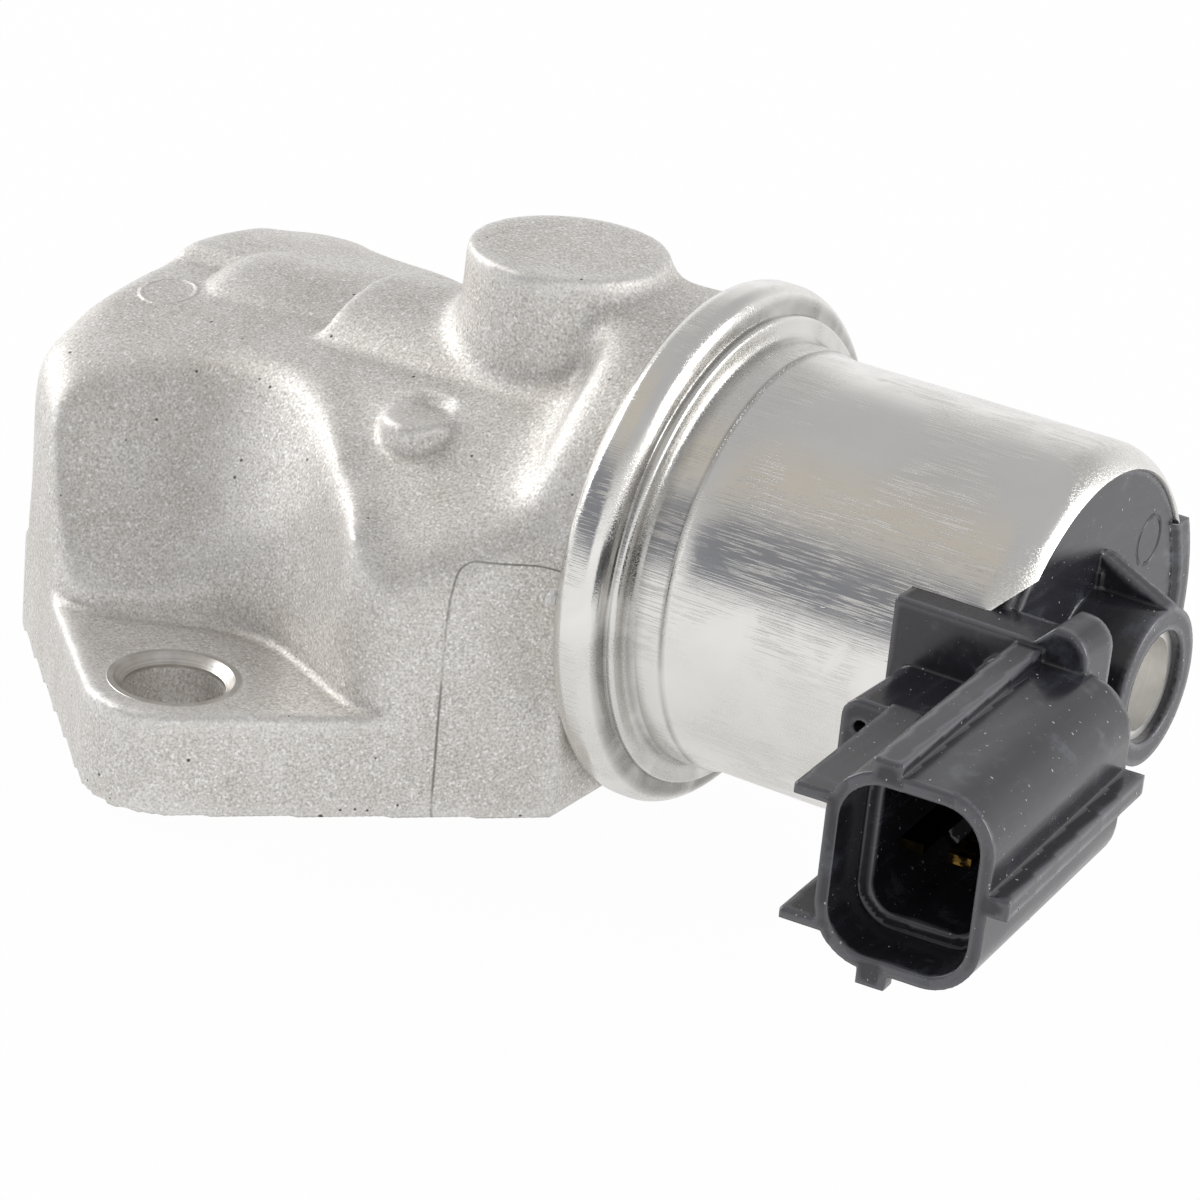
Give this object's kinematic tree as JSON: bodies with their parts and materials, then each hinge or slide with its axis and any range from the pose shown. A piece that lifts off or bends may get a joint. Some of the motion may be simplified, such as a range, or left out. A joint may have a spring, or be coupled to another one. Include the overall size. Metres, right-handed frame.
{
  "type": "idle air control valve",
  "caption": "Idle air control valve: die-cast air valve body with a bolt-down flange, a crimped steel solenoid can and a moulded plug socket at its end.",
  "frame": {"origin": "on the mounting face, midway between the two bolt holes and below the solenoid's axis", "axes": "+X along the solenoid's axis towards the plug end, +Y towards the far bolt hole, +Z square to the mounting face, up through the casting"},
  "size_m": [0.1154, 0.0908, 0.0478],
  "materials": {
    "cast_aluminium": "shot-blasted die casting",
    "drawn_steel": "bright drawn and plated",
    "turned_steel": "turned",
    "black_plastic": "moulded, satin",
    "spool_plastic": "moulded",
    "copper_wire": "enamelled wire",
    "bronze": "sintered",
    "brass": "turned",
    "tinned_brass": "tin plated",
    "rubber": "moulded",
    "felt": "pressed felt"
  },
  "bodies": {
    "valve_housing": {"valve_body": "cast_aluminium", "solenoid_can": "drawn_steel", "connector_moulding": "black_plastic", "joint_seal": "rubber", "front_flux_plate": "turned_steel", "rear_flux_plate": "turned_steel", "coil_bobbin": "spool_plastic", "coil_winding": "copper_wire", "guide_tube": "brass", "pole_core": "turned_steel", "core_plug": "turned_steel", "front_guide_bush": "bronze", "rear_guide_bush": "bronze", "shaft_wiper": "felt", "spring_washer": "turned_steel", "valve_seat": "brass", "return_spring": "turned_steel", "terminal_left": "tinned_brass", "terminal_right": "tinned_brass"},
    "valve": {"armature": "turned_steel", "valve_shaft": "turned_steel", "valve_disc": "turned_steel", "disc_seal": "rubber", "disc_nut": "brass"}
  },
  "joints": [
    {"name": "valve_slide", "type": "slide", "parent": "valve_housing", "child": "valve", "axis": [1, 0, 0], "range_m": [0, 0.0035], "stiffness_N_per_m": 1500, "springref_m": -0.004, "deforming": ["return_spring"]}
  ]
}
